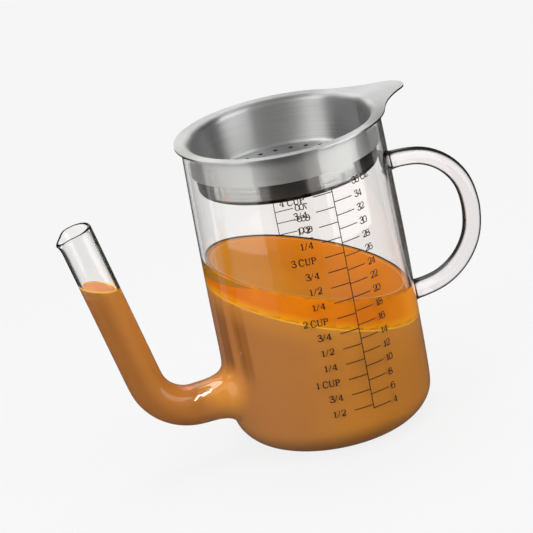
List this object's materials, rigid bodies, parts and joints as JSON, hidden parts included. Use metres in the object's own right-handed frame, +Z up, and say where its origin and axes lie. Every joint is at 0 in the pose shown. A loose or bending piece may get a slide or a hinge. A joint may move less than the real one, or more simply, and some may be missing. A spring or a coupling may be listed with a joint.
{
  "type": "gravy fat separator",
  "caption": "Clear glass measuring jug with a low-set pouring spout, a glass loop handle and a lift-out steel strainer that hangs in its mouth.",
  "frame": {"origin": "centre of the jug's flat base, on the surface it stands on", "axes": "+Z up along the jug's axis, +X toward the handle, -X toward the spout, -Y toward the front scale"},
  "size_m": [0.2155, 0.1046, 0.1582],
  "materials": {
    "borosilicate_glass": "clear, polished",
    "brushed_stainless": "brushed",
    "polished_stainless": "satin",
    "printed_enamel": "satin"
  },
  "bodies": {
    "jug": {"jug_body": "borosilicate_glass", "spout_tube": "borosilicate_glass", "handle_rod": "borosilicate_glass", "cup_scale": "printed_enamel", "ounce_scale": "printed_enamel", "millilitre_scale": "printed_enamel"},
    "strainer": {"strainer_basket": "brushed_stainless", "locating_collar": "polished_stainless"}
  },
  "joints": [
    {"name": "strainer_lift", "type": "slide", "parent": "jug", "child": "strainer", "axis": [0, 0, 1], "range_m": [0, 0.06]}
  ]
}
